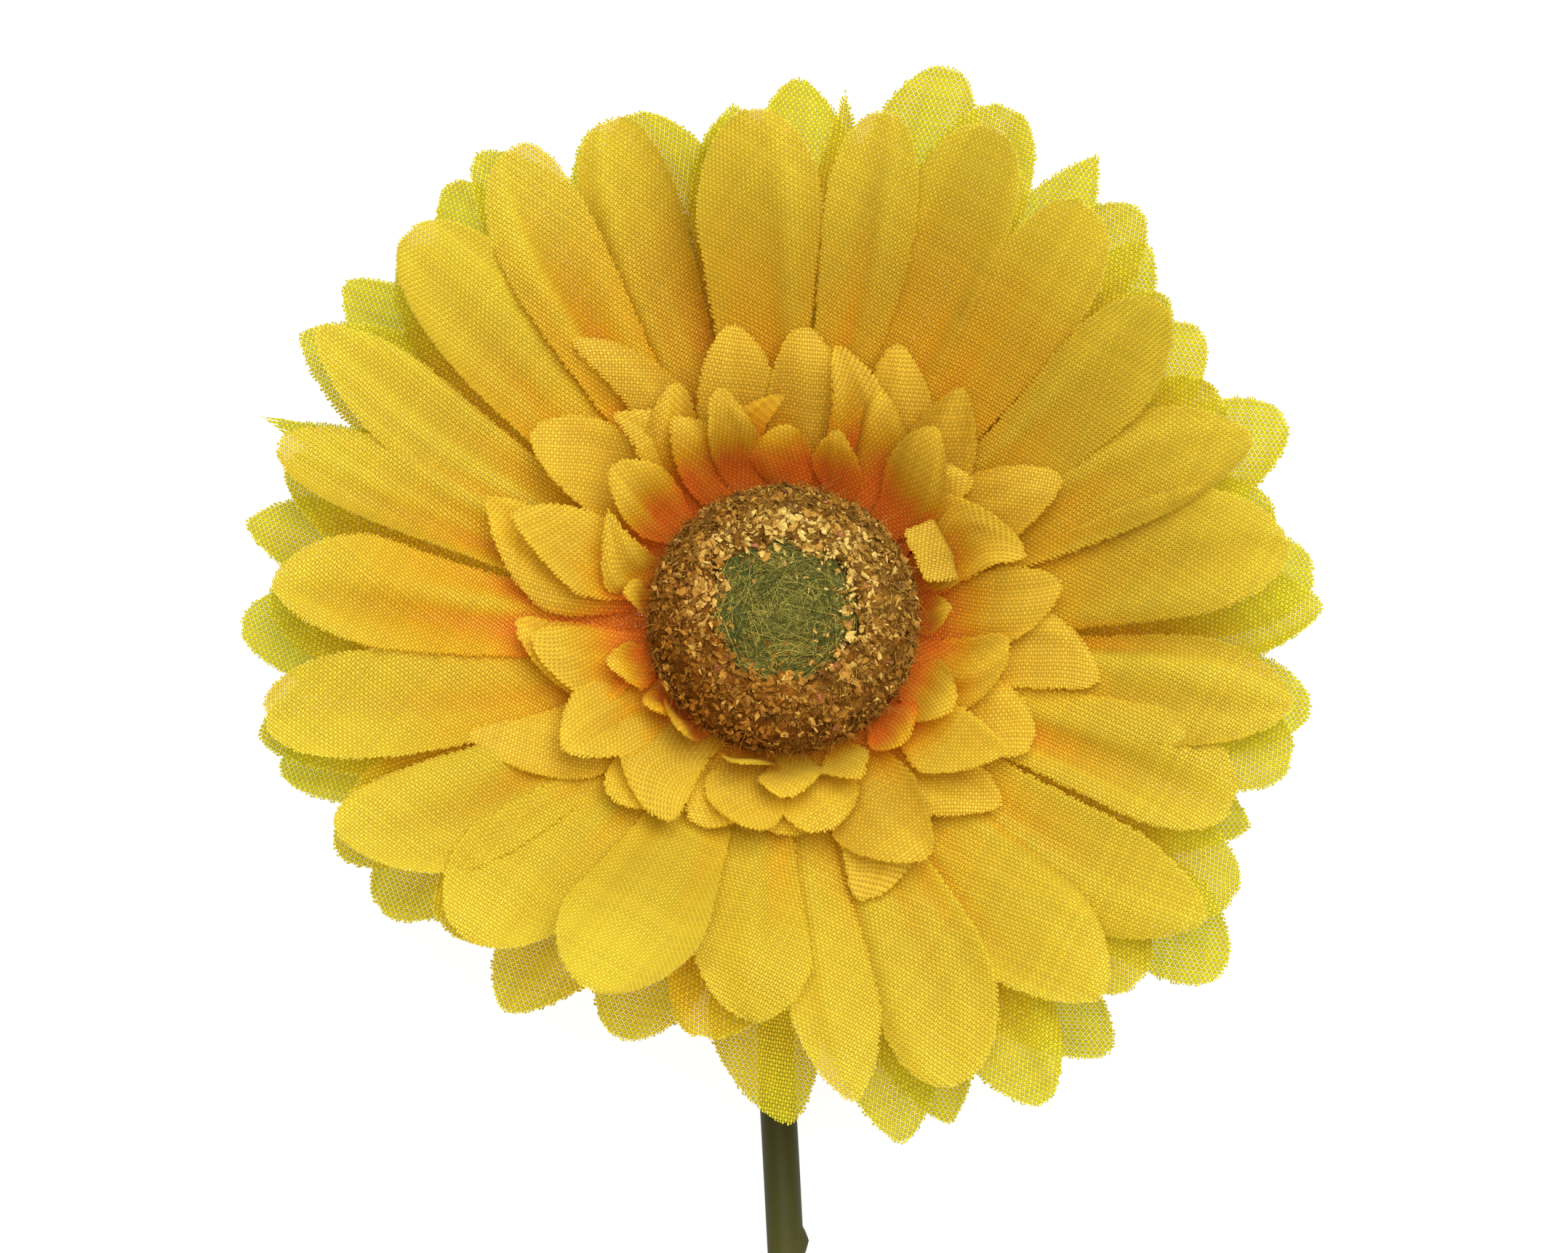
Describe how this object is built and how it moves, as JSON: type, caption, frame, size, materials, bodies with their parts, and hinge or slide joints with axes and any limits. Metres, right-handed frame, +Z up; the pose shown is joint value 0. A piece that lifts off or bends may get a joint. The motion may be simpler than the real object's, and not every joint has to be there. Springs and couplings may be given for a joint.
{
  "type": "artificial gerbera stem",
  "caption": "Artificial gerbera lying on its back: layered woven cloth petals round a felted crumb disc, on a green calyx and a long plastic-coated wire stem bent under the head.",
  "frame": {"origin": "on the surface the flower lies on, under the middle of its bounding box", "axes": "+Z up out of the open flower, +Y from the stem's tail towards the head, +X to the right as the flower is seen from above with its stem towards the viewer"},
  "size_m": [0.1096, 0.4598, 0.0473],
  "materials": {
    "petal_cloth": "plain woven polyester, yellow, dyed orange towards the root",
    "collar_cloth": "plain woven polyester, golden yellow, dyed orange red towards the root",
    "disc_felt": "green felted fibre",
    "disc_crumbs": "matte glued flakes and crumbs in tan, cream and brown",
    "calyx_plastic": "moulded plastic, soft satin",
    "stem_plastic": "moulded plastic sheath, soft satin",
    "stem_wire": "drawn wire"
  },
  "bodies": {
    "root": {"petals_back": "petal_cloth", "petals_middle": "petal_cloth", "petals_front": "petal_cloth", "collar_low": "collar_cloth", "collar_middle": "collar_cloth", "collar_high": "collar_cloth", "disc_core": "disc_felt", "crumb_ring": "disc_crumbs", "calyx": "calyx_plastic", "stem": "stem_plastic", "stem_wire": "stem_wire"}
  },
  "joints": []
}
